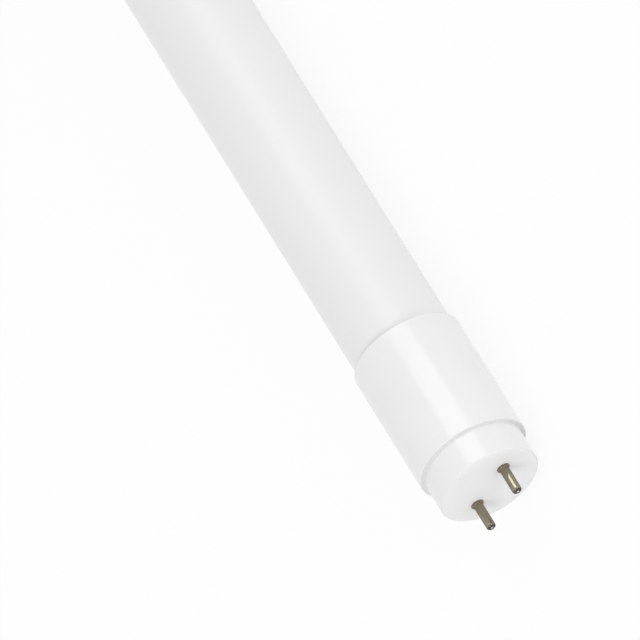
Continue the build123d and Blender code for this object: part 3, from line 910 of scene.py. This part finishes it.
floor_finish = bpy.data.materials.new("white_floor")
floor_finish.use_nodes = True
floor_tree = floor_finish.node_tree
floor_tree.nodes.clear()
floor_paint = add(floor_tree, "ShaderNodeBsdfDiffuse")
floor_paint.inputs["Color"].default_value = FLOOR_WHITE
floor_glow = add(floor_tree, "ShaderNodeEmission")
floor_share = add(floor_tree, "ShaderNodeMath", operation="MULTIPLY")
floor_share.inputs[1].default_value = FLOOR_PLAIN_SHARE
floor_mix = add(floor_tree, "ShaderNodeMixShader")
floor_output = add(floor_tree, "ShaderNodeOutputMaterial")
floor_tree.links.new(seen_directly(floor_tree), floor_share.inputs[0])
floor_tree.links.new(floor_share.outputs[0], floor_mix.inputs[0])
floor_tree.links.new(floor_paint.outputs[0], floor_mix.inputs[1])
floor_tree.links.new(floor_glow.outputs[0], floor_mix.inputs[2])
floor_tree.links.new(floor_mix.outputs[0], floor_output.inputs[0])

floor_shape = bmesh.new()
floor_place = Matrix.Translation((0, 0, cad_box[0].z))
bmesh.ops.create_circle(
    floor_shape, cap_ends=True, radius=FLOOR_RADIUS, segments=FLOOR_STEPS, matrix=floor_place
)
floor_mesh = bpy.data.meshes.new("floor")
floor_shape.to_mesh(floor_mesh)
floor_mesh.materials.append(floor_finish)
floor = bpy.data.objects.new("floor", floor_mesh)
bpy.context.scene.collection.objects.link(floor)

world = bpy.data.worlds.new("white_surround")
world.use_nodes = True
surround_tree = world.node_tree
surround = surround_tree.nodes["Background"]
surround.inputs["Color"].default_value = SURROUND_WHITE
surround_light = add(surround_tree, "ShaderNodeMapRange")
surround_light.inputs["To Min"].default_value = SURROUND_LIGHT
surround_light.inputs["To Max"].default_value = SURROUND_SEEN
surround_tree.links.new(seen_directly(surround_tree), surround_light.inputs["Value"])
surround_tree.links.new(surround_light.outputs[0], surround.inputs["Strength"])
bpy.context.scene.world = world


# Camera: a long lens from far off, so that the tube's edges stay parallel. It looks down on the feed end,
# with the tube slanted across the picture and the line of the pins turned against it.
PICTURE_PIXELS = 640
PIXELS_PER_METRE = 4305
FACE_CENTRE_PIXEL = (490.2, 485.9)
PIN_ROLL = radians(41.3)
VIEW_FROM_AXIS = radians(61)
TUBE_SLANT = radians(31.8)
LENS = 1500
SENSOR = 36
CAMERA_REACH = 100

along = Vector((1, 0, 0))
across = Vector((0, cos(PIN_ROLL), -sin(PIN_ROLL)))
near_side = Vector((0, sin(PIN_ROLL), cos(PIN_ROLL)))
to_camera = cos(VIEW_FROM_AXIS) * along + sin(VIEW_FROM_AXIS) * near_side
tube_up = cos(VIEW_FROM_AXIS) * near_side - sin(VIEW_FROM_AXIS) * along
picture_up = cos(TUBE_SLANT) * tube_up + sin(TUBE_SLANT) * across
picture_right = cos(TUBE_SLANT) * across - sin(TUBE_SLANT) * tube_up
picture_width = PICTURE_PIXELS / PIXELS_PER_METRE
shift_right = (FACE_CENTRE_PIXEL[0] - PICTURE_PIXELS / 2) / PIXELS_PER_METRE
shift_down = (FACE_CENTRE_PIXEL[1] - PICTURE_PIXELS / 2) / PIXELS_PER_METRE
aim = face_x * along - shift_right * picture_right + shift_down * picture_up

camera_data = bpy.data.cameras.new("camera")
camera_data.lens = LENS
camera_data.sensor_width = SENSOR
camera_data.clip_end = CAMERA_REACH
camera = bpy.data.objects.new("camera", camera_data)
camera_turn = Matrix((picture_right, picture_up, to_camera)).transposed().to_4x4()
camera.matrix_world = Matrix.Translation(aim + to_camera * picture_width * LENS / SENSOR) @ camera_turn
bpy.context.scene.collection.objects.link(camera)
bpy.context.scene.camera = camera


# Lights: a strip softbox, whose reflection is the bright band along the tube, a low fill at its right and a
# weak one at its left. A small one above the end face throws the pins' soft shadows.
BAND_FROM = radians(-14.6)
BAND_TO = radians(29.4)
BAND_DISTANCE = 6.0
BAND_LENGTH = 0.80
BAND_RADIANCE = 2.6
SOFTBOX_DISTANCE = 1.5
SOFTBOXES = {
    "right_softbox": {"direction": (0.32, 0.94, 0.10), "size": 1.2, "radiance": 0.92},
    "top_softbox": {"direction": (0.75, 0.00, 0.65), "size": 0.5, "radiance": 4.2},
    "left_softbox": {"direction": (0.15, -0.88, 0.45), "size": 1.0, "radiance": 0.28},
}
ENERGY_PER_RADIANCE = 4


def softbox(name, centre, facing, long_way, width, length, radiance):
    """A rectangular lamp at a place, shining one way, with its length laid another way."""
    lamp_data = bpy.data.lights.new(name, "AREA")
    lamp_data.shape = "RECTANGLE"
    lamp_data.size = width
    lamp_data.size_y = length
    lamp_data.energy = ENERGY_PER_RADIANCE * radiance * width * length
    lamp = bpy.data.objects.new(name, lamp_data)
    back = -Vector(facing).normalized()
    side = Vector(long_way).cross(back).normalized()
    lamp_turn = Matrix((side, back.cross(side), back)).transposed().to_4x4()
    lamp.matrix_world = Matrix.Translation(centre) @ lamp_turn
    lamp.visible_camera = False
    bpy.context.scene.collection.objects.link(lamp)


band_middle = (BAND_FROM + BAND_TO) / 2
band_side = cos(band_middle) * near_side + sin(band_middle) * across
band_height = BAND_DISTANCE * sin(VIEW_FROM_AXIS)
band_target = aim.x * along
band_centre = band_target + band_height * band_side - BAND_DISTANCE * cos(VIEW_FROM_AXIS) * along
band_width = 2 * band_height * tan((BAND_TO - BAND_FROM) / 2)
softbox("band_softbox", band_centre, -band_side, along, band_width, BAND_LENGTH, BAND_RADIANCE)

for softbox_name, box in SOFTBOXES.items():
    box_side = Vector(box["direction"]).normalized()
    box_centre = face_x * along + SOFTBOX_DISTANCE * box_side
    softbox(softbox_name, box_centre, -box_side, along, box["size"], box["size"], box["radiance"])

bpy.context.scene.view_settings.view_transform = "Standard"
